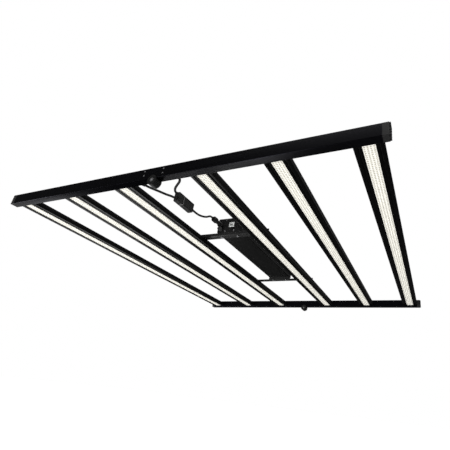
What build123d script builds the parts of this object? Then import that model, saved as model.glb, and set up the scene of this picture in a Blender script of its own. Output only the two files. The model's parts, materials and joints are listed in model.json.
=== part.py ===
from build123d import *
import os
from math import radians, tan

# Folding six-bar LED grow light, in millimetres.
# X runs along the two cross beams, Y along the LED bars, +Z up.
# The origin is on the floor under the middle of the frame, and the LEDs face down.

# ---- driving dimensions ----
frame_length = 1060.0        # over the beams' end caps, along X
frame_depth = 1110.0         # over the outer faces of the two beams, along Y
beam_height = 30.0
beam_depth = 20.0
beam_wall = 2.0
beam_edge_radius = 1.5
fold_gap = 0.3               # between the end faces of the two halves
cap_length = 15.0            # each moulded cap at a beam's outer end
bar_pitch = 185.0            # between neighbouring bars of one half
fold_pitch = 235.0           # between the two bars beside the fold
bar_width = 58.6
bar_top_width = 55.2
bar_height = 16.0
bar_lift = 6.0               # underside of a bar above the underside of a beam
board_width = 24.8
board_thickness = 1.6
board_recess = 2.2
groove_offset = 19.5         # groove along each flange, from the bar's middle
groove_reach = 1.6           # half its width, and its depth
pivot_drop = 4.0             # hinge pin below the underside of the beams
ear_radius = 13.0
ear_clearance = 0.4
pin_radius = 3.0
hinge_screw_offset = 28.0    # from the fold
hinge_screw_heights = (10.5, 22.5)
block_reach = 36.0           # hinge block's length inside its beam
tail_offset = 24.0           # wiring tail, from a bar's middle towards the fold
rail_positions = (-210.0, 228.0)
rail_flange = 22.0
rail_height = 9.5
rail_thickness = 2.0
rail_pad = 1.2
driver_width = 90.0
driver_height = 50.0
driver_wall = 2.5
driver_cap = 14.0
foot_height = 9.0
board_rise = 9.4              # circuit board above the underside of the case
lead_diameter = 6.0
gland_x, gland_rise = -37.0, 29.5     # driver's output gland, above the underside of the case
gland_length = 44.0
gland_nut = (9.0, 17.0)               # radius and length of its domed nut
inlet_x, inlet_rise = 31.0, 37.0
inlet_length = 20.0
inlet_nut = (8.0, 14.0)
knob_x, knob_rise = -33.0, 12.0
knob_radius, knob_length = 6.8, 11.0
port_x = 6.0
port_heights = (20.0, 32.0)
splitter_size = (17.0, 64.0, 27.0)
splitter_place = (-25.0, -407.0, 26.0)    # X, Y and height above the underside of the beams
cover_share = 0.34                        # of the splitter's length
seal_thickness = 0.8
cover_ports = {"left": (0.0, -7.5), "right": (0.0, 8.0)}
port_reach = 6.0
lead_exits = {"left": (-50.0, 8.5), "right": (44.0, 19.0)}
insert_position = 447.5      # threaded hanging inserts, along X

# ---- heights and places that follow ----
beam_bottom = ear_radius + pivot_drop
beam_top = beam_bottom + beam_height
beam_mid_y = (frame_depth - beam_depth) / 2
beam_inner_y = frame_depth / 2 - beam_depth
bar_bottom = beam_bottom + bar_lift
bar_top = bar_bottom + bar_height
tongue_bottom = bar_bottom + 7.4
tongue_thickness = 3.0
rail_bottom = bar_top + rail_pad
driver_bottom = rail_bottom + rail_thickness + foot_height
driver_near = rail_positions[0] + rail_thickness
driver_far = rail_positions[1] - rail_thickness
bar_places = [fold_pitch / 2 + n * bar_pitch for n in range(3)]
bar_names = ["inner", "middle", "outer"]
HALVES = {"left": -1, "right": 1}
BEAMS = {"near": -1, "far": 1}


# ---- shapes used by several parts ----
def block(x, y, z):
    """A box between two values on each axis."""
    size = [abs(b - a) for a, b in (x, y, z)]
    middle = [(a + b) / 2 for a, b in (x, y, z)]
    return Pos(*middle) * Box(*size)


def rod(radius, start, end):
    """A cylinder from one point to another."""
    way = Vector(*end) - Vector(*start)
    at = Plane(origin=start, z_dir=way)
    return at * Cylinder(radius, way.length, align=(Align.CENTER, Align.CENTER, Align.MIN))


def ring(outer, inner, start, end):
    return rod(outer, start, end) - rod(inner, start, end)


def hexagon(across_flats, start, end):
    way = Vector(*end) - Vector(*start)
    profile = RegularPolygon(across_flats / 2, 6, major_radius=False)
    return extrude(Plane(origin=start, z_dir=way) * profile, way.length)


def rounded_tube(y_middle, z_middle, depth, height, radius, x0, x1):
    """A solid bar along X with rounded long edges."""
    section = RectangleRounded(depth, height, radius)
    plane = Plane(origin=(x0, y_middle, z_middle), x_dir=(0, 1, 0), z_dir=(1, 0, 0))
    return extrude(plane * section, x1 - x0)


def save(name, *solids):
    """One node: a single solid, or a group of separate like solids."""
    pieces = [s for shape in solids for s in shape.solids()]
    export_step(Compound(children=pieces) if len(pieces) > 1 else pieces[0], "parts/" + name + ".step")


# ---- beams ----
def span(half):
    """The X range of a half beam, from the fold outwards."""
    sign = HALVES[half]
    inner = sign * fold_gap / 2
    outer = sign * (frame_length / 2 - cap_length)
    return sorted((inner, outer))


def beam(half, side):
    """Half a cross beam: a tube with slots for the bar tongues and a notch round the hinge ears."""
    x0, x1 = span(half)
    face = BEAMS[side]
    sign = HALVES[half]
    y = face * beam_mid_y
    z = beam_bottom + beam_height / 2
    body = rounded_tube(y, z, beam_depth, beam_height, beam_edge_radius, x0, x1)
    room = 2 * beam_wall
    body -= rounded_tube(y, z, beam_depth - room, beam_height - room, 0.8, x0 - 1, x1 + 1)
    pivot_z = beam_bottom - pivot_drop
    body -= rod(
        ear_radius + ear_clearance,
        (0, y - beam_depth, pivot_z),
        (0, y + beam_depth, pivot_z),
    )
    outside = face * frame_depth / 2
    inside = face * (beam_inner_y - 1)
    for height in hinge_screw_heights:
        at = (sign * hinge_screw_offset, outside + face, beam_bottom + height)
        body -= rod(2.1, at, (at[0], outside - face * 4, at[2]))
    for place in bar_places:
        x = sign * place
        slot = (x - 20.2, x + 20.2)
        body -= block(slot, (inside, inside + face * 4), (tongue_bottom - 0.2, tongue_bottom + 3.2))
        body -= rod(2.6, (x, y, beam_top - 4), (x, y, beam_top + 1))
        if side == "near":
            wire_x, wire_z = x - sign * tail_offset, bar_bottom + 3.2
            body -= rod(2.2, (wire_x, inside, wire_z), (wire_x, inside + face * 4, wire_z))
    x = sign * (insert_position)
    body -= rod(5.0, (x, y, beam_top - 4), (x, y, beam_top + 1))
    if side == "near":
        exit_x, exit_z = lead_exit(half)
        body -= rod(4.6, (exit_x, inside, exit_z), (exit_x, inside + face * 4, exit_z))
    return body


def end_cap(half, side):
    """Moulded cap with a plug inside the tube and ribs across its end face."""
    sign = HALVES[half]
    y = BEAMS[side] * beam_mid_y
    z = beam_bottom + beam_height / 2
    inner = sign * (frame_length / 2 - cap_length)
    rib_root = sign * (frame_length / 2 - 3.0)
    shell = sorted((inner, rib_root))
    body = rounded_tube(y, z, beam_depth, beam_height, beam_edge_radius, *shell)
    plug = sorted((inner - sign * 6, inner))
    size = 2 * beam_wall + 0.2
    body += rounded_tube(y, z, beam_depth - size, beam_height - size, 0.7, *plug)
    rib_count = 5
    pitch = beam_height / rib_count
    for n in range(rib_count):
        z0 = beam_bottom + n * pitch + 1.2
        rib = sorted((rib_root - sign * 0.5, sign * frame_length / 2))
        body += block(rib, (y - beam_depth / 2 + 1, y + beam_depth / 2 - 1), (z0, z0 + pitch - 2.4))
    return body


def hanging_insert(half, side):
    """Flush steel sleeve with an M6 hole for a hanging cable or hook."""
    x = HALVES[half] * (insert_position)
    y = BEAMS[side] * beam_mid_y
    low = beam_top - 14
    sleeve = ring(5.0, 2.5, (x, y, low), (x, y, beam_top))
    flange = ring(7.0, 5.0, (x, y, beam_top - beam_wall - 1.5), (x, y, beam_top - beam_wall))
    return sleeve + flange


# ---- hinges ----
def hinge_ear(y0, y1):
    z = beam_bottom - pivot_drop
    return rod(ear_radius, (0, y0, z), (0, y1, z))


def hinge_block(half, side):
    """Cast block inside the beam's end. The left one carries two ears, the right one the ear between them."""
    sign = HALVES[half]
    face = BEAMS[side]
    y = face * beam_mid_y
    gap = 0.1
    room = 2 * (beam_wall + gap)
    z_mid = beam_bottom + beam_height / 2
    x0, x1 = sorted((sign * 1.5, sign * block_reach))
    body = rounded_tube(y, z_mid, beam_depth - room, beam_height - room, 0.7, x0, x1)
    pivot_z = beam_bottom - pivot_drop
    body -= rod(ear_radius + ear_clearance, (0, y - beam_depth, pivot_z), (0, y + beam_depth, pivot_z))
    outer = face * frame_depth / 2
    outer_slice = sorted((outer, outer - face * 5.0))
    middle_slice = sorted((outer - face * 5.3, outer - face * 14.7))
    inner_slice = sorted((outer - face * 15.0, outer - face * 20.0))
    slices = [outer_slice, inner_slice] if half == "left" else [middle_slice]
    for y0, y1 in slices:
        arm = sorted((sign * 1.5, sign * 11.0))
        cavity = beam_depth / 2 - beam_wall - gap
        inside = (max(y0, y - cavity), min(y1, y + cavity))
        body += hinge_ear(y0, y1)
        body += block(arm, inside, (pivot_z + 5, pivot_z + ear_radius + 8))
    if half == "left":
        body -= rod(pin_radius, (0, y - beam_depth, pivot_z), (0, y + beam_depth, pivot_z))
        body -= rod(5.2, (0, outer + face, pivot_z), (0, outer - face * 1.6, pivot_z))
    else:
        body -= rod(pin_radius + 0.2, (0, y - beam_depth, pivot_z), (0, y + beam_depth, pivot_z))
    for height in hinge_screw_heights:
        at = (sign * hinge_screw_offset, outer, beam_bottom + height)
        body -= rod(1.7, at, (at[0], outer - face * 14, at[2]))
    return body


def hinge_pin(side):
    face = BEAMS[side]
    outer = face * frame_depth / 2
    z = beam_bottom - pivot_drop
    shank = rod(pin_radius, (0, outer - face * 1.6, z), (0, outer - face * 20.0, z))
    head = rod(5.0, (0, outer - face * 0.4, z), (0, outer - face * 1.6, z))
    return shank + head


def hinge_screw(half, side, height):
    """Countersunk machine screw through the beam's outer wall into the hinge block."""
    face = BEAMS[side]
    outer = face * frame_depth / 2
    x = HALVES[half] * hinge_screw_offset
    z = beam_bottom + height
    shank = rod(1.7, (x, outer - face * 0.2, z), (x, outer - face * 12, z))
    head = rod(2.1, (x, outer, z), (x, outer - face * 1.9, z))
    head -= block((x - 0.4, x + 0.4), sorted((outer, outer - face * 0.8)), (z - 2.0, z + 2.0))
    return shank + head


# ---- LED bars ----
def bar_section():
    """Extruded heat-sink profile, drawn in X and Z round the bar's bottom middle."""
    low, high = bar_width / 2, bar_top_width / 2
    left = [(-high, bar_height), (-low, 3), (-low, 0)]
    right = [(-x, z) for x, z in reversed(left)]
    section = Polygon(*left, *right, align=None)
    half_board = board_width / 2 + 0.2
    section -= Rectangle(2 * half_board, 2 * board_recess)
    cavity_low, cavity_high = board_recess + 2.4, bar_height - 3.4
    section -= Pos(0, (cavity_low + cavity_high) / 2) * RectangleRounded(44, cavity_high - cavity_low, 0.8)
    for side in (-1, 1):
        groove = Polygon((-groove_reach, 0), (groove_reach, 0), (0.0, groove_reach), align=None)
        section -= Pos(side * groove_offset, 0) * groove
    fin_count = 8
    fin_pitch = 6.0
    for n in range(fin_count):
        x = (n - (fin_count - 1) / 2) * fin_pitch
        section -= Pos(x, bar_height) * Rectangle(2.4, 3.2)
    return section


def bar(x):
    start = Plane(origin=(x, beam_inner_y, bar_bottom), x_dir=(1, 0, 0), z_dir=(0, -1, 0))
    body = extrude(start * bar_section(), 2 * beam_inner_y)
    for side in BEAMS.values():
        for offset in (-12, 12):
            at = (x + offset, side * (beam_inner_y - 18), bar_top - 6)
            body -= rod(1.7, at, (at[0], at[1], bar_top + 1))
            body -= rod(3.0, (at[0], at[1], bar_top - 1.6), (at[0], at[1], bar_top + 1))
    return body


def led_board(x):
    """Aluminium-backed circuit board that lies in the channel under a bar."""
    end = beam_inner_y - 1.0
    top = bar_bottom + board_recess
    half = board_width / 2
    return block((x - half, x + half), (-end, end), (top - board_thickness, top))


def tongue(x, side):
    """Steel strip that joins a bar's end to the beam through a slot in its inner wall."""
    inner = side * (beam_inner_y - 32)
    outer = side * (beam_inner_y + 17)
    strip = block((x - 20, x + 20), sorted((inner, outer)), (tongue_bottom, tongue_bottom + tongue_thickness))
    for at in tongue_screw_places(x, side):
        strip -= rod(1.7, (at[0], at[1], tongue_bottom - 1), (at[0], at[1], tongue_bottom + 4))
    return strip


def tongue_screw_places(x, side):
    """The beam's screw, then the bar's two."""
    places = [(x, side * beam_mid_y, beam_top, 4.0)]
    for offset in (-12, 12):
        places.append((x + offset, side * (beam_inner_y - 18), bar_top - 1.6, 2.8))
    return places


def tongue_screw(x, y, seat, head_radius):
    shank = rod(1.7, (x, y, tongue_bottom), (x, y, seat + 0.1))
    head = rod(head_radius, (x, y, seat), (x, y, seat + 1.6))
    return shank + head - rod(head_radius / 2.6, (x, y, seat + 0.8), (x, y, seat + 2))


# ---- driver and its rails ----
def rail(side):
    """Angle that crosses the two inner bars. Its upright faces away from the driver."""
    face = BEAMS[side]
    edge = rail_positions[0] if side == "near" else rail_positions[1]
    reach = bar_places[0] + bar_width / 2 - 6
    depth = sorted((edge, edge - face * rail_flange))
    foot = block((-reach, reach), depth, (rail_bottom, rail_bottom + rail_thickness))
    top = rail_bottom + rail_height
    upright = block((-reach, reach), sorted((edge, edge - face * rail_thickness)), (rail_bottom, top))
    body = foot + upright
    for x, y in rail_bolt_places(side):
        body -= rod(2.2, (x, y, rail_bottom - 1), (x, y, rail_bottom + 3))
    return body


def rail_bolt_places(side):
    """Two under the driver, two over the right inner bar."""
    face = BEAMS[side]
    edge = rail_positions[0] if side == "near" else rail_positions[1]
    y = edge - face * 12
    return [(-29, y), (29, y), (bar_places[0] - 15, y), (bar_places[0] + 9, y)]


def rail_bolt(x, y):
    """Domed bolt, head below under the driver and head above over the bar."""
    if abs(x) < 40:
        low = rail_bottom - 2.2
        head = rod(4.0, (x, y, low), (x, y, rail_bottom))
        return head + rod(2.2, (x, y, rail_bottom), (x, y, rail_bottom + 6))
    top = rail_bottom + rail_thickness
    return rod(4.0, (x, y, top), (x, y, top + 2.2)) + rod(2.2, (x, y, rail_bottom), (x, y, top))


def rail_pad_block(x, side):
    """Rubber pad between a rail's end and the bar below it. The left ones stay off the folding half."""
    face = BEAMS[side]
    edge = rail_positions[0] if side == "near" else rail_positions[1]
    lift = 0.4 if x < 0 else 0.0
    y = sorted((edge - face * 1, edge - face * (rail_flange - 1)))
    return block((x - 16, x + 16), y, (bar_top + lift, rail_bottom))


def driver_foot(side):
    """Bracket that holds one end of the driver above its rail."""
    face = BEAMS[side]
    edge = driver_near if side == "near" else driver_far
    y = sorted((edge - face * 3, edge - face * 19))
    low = rail_bottom + rail_thickness
    body = block((-44, 44), y, (low, driver_bottom))
    body -= block((-38, 38), (y[0] + 3, y[1] - 3), (low + 2, driver_bottom + 1))
    for x, bolt_y in rail_bolt_places(side)[:2]:
        body -= rod(2.2, (x, bolt_y, low - 1), (x, bolt_y, low + 9))
    return body


def driver_case():
    """Extruded case: a tube with cooling fins along its top and its sides."""
    z = driver_bottom + driver_height / 2
    length = driver_far - driver_near - 2 * driver_cap
    plane = Plane(origin=(0, driver_far - driver_cap, z), x_dir=(1, 0, 0), z_dir=(0, -1, 0))
    section = RectangleRounded(driver_width, driver_height, 3)
    room = 2 * driver_wall + 2
    section -= RectangleRounded(driver_width - room, driver_height - room, 2)
    for x, dz in cap_screw_places():
        section += Pos(x, dz - driver_height / 2) * Circle(3.4)
        section -= Pos(x, dz - driver_height / 2) * Circle(1.6)
    for n in range(9):
        section -= Pos((n - 4) * 8.4, driver_height / 2) * Rectangle(4.2, 3.6)
    for side in (-1, 1):
        for n in range(4):
            section -= Pos(side * driver_width / 2, (n - 1.5) * 9) * Rectangle(3.0, 4.0)
    return extrude(plane * section, length)


def driver_end(side):
    """Cast cap that closes one end of the case."""
    face = BEAMS[side]
    outer = driver_near if side == "near" else driver_far
    inner = outer - face * driver_cap
    z = driver_bottom + driver_height / 2
    origin = (0, max(outer, inner), z)
    plane = Plane(origin=origin, x_dir=(1, 0, 0), z_dir=(0, -1, 0))
    body = extrude(plane * RectangleRounded(driver_width, driver_height, 3), driver_cap)
    hollow = sorted((inner, outer - face * 4))
    body -= block((-39, 39), hollow, (driver_bottom + 4, driver_bottom + driver_height - 4))
    for x, dz in cap_screw_places():
        at = (x, outer, driver_bottom + dz)
        body += rod(3.6, (x, outer - face * 3, at[2]), (x, inner, at[2]))
        body -= rod(1.6, at, (at[0], inner, at[2]))
        body -= rod(3.2, at, (at[0], outer - face * 1.8, at[2]))
    if side == "near":
        holes = ((gland_x, gland_rise, 6.0), (inlet_x, inlet_rise, 6.0), (knob_x, knob_rise, 3.4))
        for x, dz, radius in holes:
            body -= rod(radius, (x, outer - 1, driver_bottom + dz), (x, outer + 9, driver_bottom + dz))
        opening = [driver_bottom + height for height in port_heights]
        body -= block((port_x - 7, port_x + 7), (outer - 1, outer + 5), opening)
    return body


def cap_screw_places():
    return [(x, dz) for x in (-16.0, 16.0) for dz in (5.0, driver_height - 5.0)]


def cap_screw(side, x, dz):
    face = BEAMS[side]
    outer = driver_near if side == "near" else driver_far
    z = driver_bottom + dz
    shank = rod(1.6, (x, outer - face * 1.8, z), (x, outer - face * (driver_cap + 12), z))
    head = rod(3.0, (x, outer - face * 0.3, z), (x, outer - face * 1.8, z))
    return shank + head - rod(1.2, (x, outer, z), (x, outer - face * 1.1, z))


def gland(x, z, bore, length, nut):
    """Cable gland on the driver's near cap: thread, hexagon, neck and domed nut."""
    wall = driver_near
    radius, nut_length = nut
    tip = wall - length
    body = rod(6.0, (x, wall + 8, z), (x, wall, z)) + hexagon(17, (x, wall, z), (x, wall - 6, z))
    body += rod(6.4, (x, wall, z), (x, tip + nut_length / 2, z))
    dome = rod(radius, (x, tip + nut_length, z), (x, tip, z))
    rims = dome.edges().filter_by(GeomType.CIRCLE).sort_by(Axis.Y)
    dome = fillet(rims[0], radius * 0.45)
    dome = fillet(dome.edges().filter_by(GeomType.CIRCLE).sort_by(Axis.Y)[-1], 1.5)
    return body + dome - rod(bore, (x, wall + 20, z), (x, tip - 1, z))


def output_gland():
    return gland(gland_x, driver_bottom + gland_rise, lead_diameter / 2 + 0.2, gland_length, gland_nut)


def mains_inlet():
    """Chassis gland for the supply cord, closed by a blanking plug."""
    z = driver_bottom + inlet_rise
    body = gland(inlet_x, z, 3.5, inlet_length, inlet_nut)
    plug_end = driver_near - inlet_length + 1
    return body + rod(3.5, (inlet_x, driver_near + 6, z), (inlet_x, plug_end, z))


def control_port():
    """Moulded socket for the control cable."""
    y = driver_near
    z0, z1 = [driver_bottom + height for height in port_heights]
    body = block((port_x - 7, port_x + 7), (y - 1.5, y + 9), (z0, z1))
    body += block((port_x - 9, port_x + 9), (y - 1.5, y), (z0 - 2, z1 + 2))
    return body - block((port_x - 5.5, port_x + 5.5), (y - 2, y + 6), (z0 + 2, z1 - 2))


def dimmer_knob():
    """Fluted knob on a shaft that turns in the driver's near cap."""
    z = driver_bottom + knob_rise
    y = driver_near - 0.6
    face = y - knob_length
    knob = rod(knob_radius, (knob_x, y, z), (knob_x, face, z))
    flutes = 12
    for n in range(flutes):
        spot = Vector(knob_radius + 0.1, 0, 0).rotate(Axis.Y, 360 / flutes * n)
        x, height = knob_x + spot.X, z + spot.Z
        knob -= rod(0.9, (x, y - 2.5, height), (x, face - 1, height))
    knob -= block((knob_x - 0.6, knob_x + 0.6), (face - 1, face + 0.8), (z + 1, z + 6))
    return knob + rod(3.0, (knob_x, y, z), (knob_x, driver_near + 8, z))


def circuit_board():
    z = driver_bottom + board_rise
    return block((-38, 38), (driver_near + 20, driver_far - 20), (z, z + 1.6))


def transformers():
    z = driver_bottom + board_rise + 1.6
    cores = []
    for y in (-60, 40):
        cores.append(block((-30, 2), (y - 20, y + 20), (z, z + 28)))
    return cores


def capacitors():
    z = driver_bottom + board_rise + 1.6
    return [rod(9, (-24 + 22 * n, -140, z), (-24 + 22 * n, -140, z + 30)) for n in range(3)]


def power_switches():
    """Power transistors along the right wall, with their heat spreader."""
    z = driver_bottom + board_rise + 1.6
    return [block((30, 35), (y, y + 16), (z, z + 20)) for y in range(-120, 140, 40)]


# ---- splitter and leads ----
def splitter_middle():
    x, y, rise = splitter_place
    return x, y, beam_bottom + rise


def lead_exit(half):
    """X and Z of a lead's gland on the inner wall of the near beam."""
    x, rise = lead_exits[half]
    return x, beam_bottom + rise


def beam_gland(half):
    """Low gland on the inner wall of the near beam."""
    x, z = lead_exit(half)
    wall = -beam_inner_y
    body = rod(4.5, (x, wall - 6, z), (x, wall, z)) + hexagon(12, (x, wall, z), (x, wall + 4, z))
    seat = Plane(origin=(x, wall + 7, z), z_dir=(0, 1, 0))
    return body + seat * Cone(5.8, 4.4, 6)


def splitter_body():
    """The larger part of the Y-junction's moulded box, towards the driver."""
    x, y, z = splitter_middle()
    length = splitter_size[1] * (1 - cover_share)
    box = Pos(x, y + splitter_size[1] / 2 - length / 2, z) * Box(splitter_size[0], length, splitter_size[2])
    box = fillet(box.edges().filter_by(Axis.Y), 2.5)
    end = y + splitter_size[1] / 2
    return box + rod(6.0, (x, end, z), (x, end + port_reach, z))


def splitter_cover():
    """The junction's cover, which takes the two beam leads."""
    x, y, z = splitter_middle()
    length = splitter_size[1] * cover_share - seal_thickness
    y0 = y - splitter_size[1] / 2
    box = Pos(x, y0 + length / 2, z) * Box(splitter_size[0], length, splitter_size[2])
    box = fillet(box.edges().filter_by(Axis.Y), 2.5)
    for dx, dz in cover_ports.values():
        box += rod(4.8, (x + dx, y0, z + dz), (x + dx, y0 - port_reach, z + dz))
    return box


def splitter_seal():
    """Pale gasket between the junction's two shells."""
    x, y, z = splitter_middle()
    seam = y - splitter_size[1] * (0.5 - cover_share)
    return block((x - 7.5, x + 7.5), (seam - seal_thickness, seam), (z - 12.5, z + 12.5))


def lead(name, points):
    """A round cable along straight runs joined by tangent arcs."""
    corners = [Vector(*p) for p in points]
    radii = []
    for before, at, after in zip(corners, corners[1:], corners[2:]):
        turn = (at - before).get_angle(after - at)
        run = min((at - before).length, (after - at).length)
        radii.append(0.45 * run / tan(radians(turn) / 2))
    path = FilletPolyline(*points, radius=radii)
    section = Plane(origin=corners[0], z_dir=corners[1] - corners[0]) * Circle(lead_diameter / 2)
    tube = sweep(section, path=path)
    expected = section.area * path.length
    print(name, "radii", [round(r, 1) for r in radii], "length", round(path.length, 1),
          "volume / section x length", round(tube.volume / expected, 4))
    return tube


def lead_routes():
    x, y, z = splitter_middle()
    near = y - splitter_size[1] / 2 - port_reach
    far = y + splitter_size[1] / 2 + port_reach
    start = -beam_inner_y + 10
    left_x, left_z = lead_exit("left")
    right_x, right_z = lead_exit("right")
    low_port = z + cover_ports["left"][1]
    high_port = z + cover_ports["right"][1]
    tip = driver_near - gland_length
    tip_z = driver_bottom + gland_rise
    return {
        "lead_left": [
            (left_x, start + 1, left_z),
            (left_x + 1.5, start + 13, left_z + 1.5),
            (left_x + 9, start + 33, left_z + 4),
            (x - 7, near - 25, low_port - 4.5),
            (x - 2, near - 10, low_port - 1.3),
            (x, near, low_port),
        ],
        "lead_right": [
            (right_x, start, right_z),
            (right_x - 1, start + 12, right_z + 0.5),
            (right_x - 10, start + 23, right_z + 1.5),
            (right_x - 24, start + 32, right_z + 0.5),
            (right_x - 38, start + 42, right_z),
            (x + 17, near - 23, high_port - 9),
            (x + 5, near - 10, high_port - 2),
            (x, near, high_port),
        ],
        "lead_driver": [
            (x, far, z),
            (x + 0.5, far + 16, z - 1.5),
            (x + 2, far + 39, z + 1),
            (gland_x + 8, tip - 44, tip_z - 20.7),
            (gland_x + 1, tip - 21, tip_z - 3.2),
            (gland_x, tip - 8, tip_z),
            (gland_x, tip, tip_z),
        ],
    }


def harness(half):
    """Wiring inside the near beam, with a tail into each bar."""
    sign = HALVES[half]
    y = -beam_mid_y
    z = bar_bottom + 3.2 - 3.5
    start = sign * (bar_places[0] - tail_offset - 20)
    end = sign * (bar_places[-1] - tail_offset + 4)
    body = rod(2.5, (start, y, z), (end, y, z))
    for place in bar_places:
        x = sign * (place - tail_offset)
        body += rod(1.6, (x, y, z), (x, y, z + 3.5))
        body += rod(1.6, (x, y - 0.5, z + 3.5), (x, -beam_inner_y - 0.2, z + 3.5))
    return body


# ---- build every node ----
os.makedirs("parts", exist_ok=True)
for half, sign in HALVES.items():
    for side in BEAMS:
        save("beam_" + side + "_" + half, beam(half, side))
        save("end_cap_" + side + "_" + half, end_cap(half, side))
        save("hinge_block_" + side + "_" + half, hinge_block(half, side))
    for name, place in zip(bar_names, bar_places):
        save("bar_" + name + "_" + half, bar(sign * place))
        save("led_board_" + name + "_" + half, led_board(sign * place))
    ends = [(sign * place, side) for place in bar_places for side in BEAMS.values()]
    save("bar_tongues_" + half, *[tongue(x, side) for x, side in ends])
    save("tongue_screws_" + half, *[tongue_screw(*at) for end in ends for at in tongue_screw_places(*end)])
    save("hinge_screws_" + half, *[hinge_screw(half, s, h) for s in BEAMS for h in hinge_screw_heights])
    save("hanging_inserts_" + half, *[hanging_insert(half, side) for side in BEAMS])
    save("harness_" + half, harness(half))
    save("beam_gland_" + half, beam_gland(half))
save("hinge_pins", *[hinge_pin(side) for side in BEAMS])
save("rail_near", rail("near"))
save("rail_far", rail("far"))
save("rail_bolts", *[rail_bolt(x, y) for side in BEAMS for x, y in rail_bolt_places(side)])
save("rail_pads", *[rail_pad_block(sign * bar_places[0], side) for sign in (-1, 1) for side in BEAMS])
save("driver_feet", *[driver_foot(side) for side in BEAMS])
save("driver_case", driver_case())
save("driver_cap_near", driver_end("near"))
save("driver_cap_far", driver_end("far"))
save("driver_cap_screws", *[cap_screw(s, x, dz) for s in BEAMS for x, dz in cap_screw_places()])
save("driver_circuit_board", circuit_board())
save("driver_transformers", *transformers())
save("driver_capacitors", *capacitors())
save("driver_switches", *power_switches())
save("driver_output_gland", output_gland())
save("driver_mains_inlet", mains_inlet())
save("driver_control_port", control_port())
save("dimmer_knob", dimmer_knob())
save("splitter_body", splitter_body())
save("splitter_cover", splitter_cover())
save("splitter_seal", splitter_seal())
for name, points in lead_routes().items():
    save(name, lead(name, points))
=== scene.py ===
import json
import math

import bmesh
import bpy
from mathutils import Matrix, Vector


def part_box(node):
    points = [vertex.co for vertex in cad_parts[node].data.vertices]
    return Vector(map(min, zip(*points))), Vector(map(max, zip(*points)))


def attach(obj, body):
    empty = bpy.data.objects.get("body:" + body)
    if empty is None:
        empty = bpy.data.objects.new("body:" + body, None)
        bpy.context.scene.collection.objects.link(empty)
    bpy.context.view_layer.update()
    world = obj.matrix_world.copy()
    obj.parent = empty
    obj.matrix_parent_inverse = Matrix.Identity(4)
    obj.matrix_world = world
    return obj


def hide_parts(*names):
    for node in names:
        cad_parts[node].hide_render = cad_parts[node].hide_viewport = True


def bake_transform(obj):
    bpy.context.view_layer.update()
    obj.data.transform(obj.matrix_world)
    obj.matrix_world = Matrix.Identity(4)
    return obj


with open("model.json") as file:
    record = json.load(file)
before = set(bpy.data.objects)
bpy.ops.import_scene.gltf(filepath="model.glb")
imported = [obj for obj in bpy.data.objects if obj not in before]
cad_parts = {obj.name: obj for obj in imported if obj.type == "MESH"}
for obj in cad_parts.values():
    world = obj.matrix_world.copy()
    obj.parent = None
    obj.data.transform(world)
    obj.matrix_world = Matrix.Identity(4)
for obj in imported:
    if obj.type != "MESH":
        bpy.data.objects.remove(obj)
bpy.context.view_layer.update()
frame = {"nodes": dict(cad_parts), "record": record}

bl_info = {
    "name": "Folding LED grow light",
    "version": (1, 0, 0),
    "blender": (4, 5, 0),
    "location": "3D View > Sidebar > Grow light",
    "description": "Builds a folding six-bar LED grow light round its packed frame",
    "category": "Object",
}

MM = 0.001
HALVES = ("left", "right")
SIDES = ("near", "far")
BARS = ("inner", "middle", "outer")
SMOOTH_ANGLE = math.radians(32)
FLOOR_REACH = 60.0
SHADE_LEVEL = 0.045
OVERHEAD_STRENGTH = 3.5
OVERHEAD_SPREAD = math.radians(60)
# name, place and size in metres, power in watts; each panel faces the middle of the object
PANELS = (
    ("back_panel", (-2.4, 2.2, 0.7), (1.8, 0.9), 12.0),
    ("right_panel", (2.2, 2.2, 0.9), (1.5, 0.8), 3.0),
    ("under_panel", (-1.17, 0.5, -0.87), (0.9, 0.5), 2.4),
    ("left_panel", (-1.95, 0.37, -0.78), (1.2, 0.6), 1.6),
    ("fold_panel", (-2.0, 0.9, -1.2), (0.9, 0.6), 2.2),
    ("edge_strip", (-1.65, -1.42, -1.0), (1.2, 0.5), 30.0),
)


# ---- settings ----
class BarSettings(bpy.types.PropertyGroup):
    """Section of a light bar and the rows of emitters under it."""

    edge_radius: bpy.props.FloatProperty(
        name="Edge radius", description="Rounding of the extrusion's edges", default=0.35 * MM, unit="LENGTH"
    )
    foot_radius: bpy.props.FloatProperty(
        name="Foot radius",
        description="Rounding of the two lower outer corners",
        default=0.9 * MM,
        unit="LENGTH",
    )
    groove_width: bpy.props.FloatProperty(
        name="Groove width",
        description="Width of the groove along each flange",
        default=3.2 * MM,
        unit="LENGTH",
    )
    groove_depth: bpy.props.FloatProperty(
        name="Groove depth",
        description="Depth of the groove along each flange",
        default=1.6 * MM,
        unit="LENGTH",
    )
    fins: bpy.props.IntProperty(name="Fin gaps", description="Cooling gaps along the bar's top", default=8)
    emitter_rows: bpy.props.IntProperty(name="Emitter rows", description="Rows side by side", default=4)
    emitter_pitch: bpy.props.FloatProperty(
        name="Emitter pitch", description="Spacing along the bar", default=6.0 * MM, unit="LENGTH"
    )
    emitter_size: bpy.props.FloatProperty(
        name="Emitter size", description="Length of one emitter's package", default=3.4 * MM, unit="LENGTH"
    )


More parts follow.
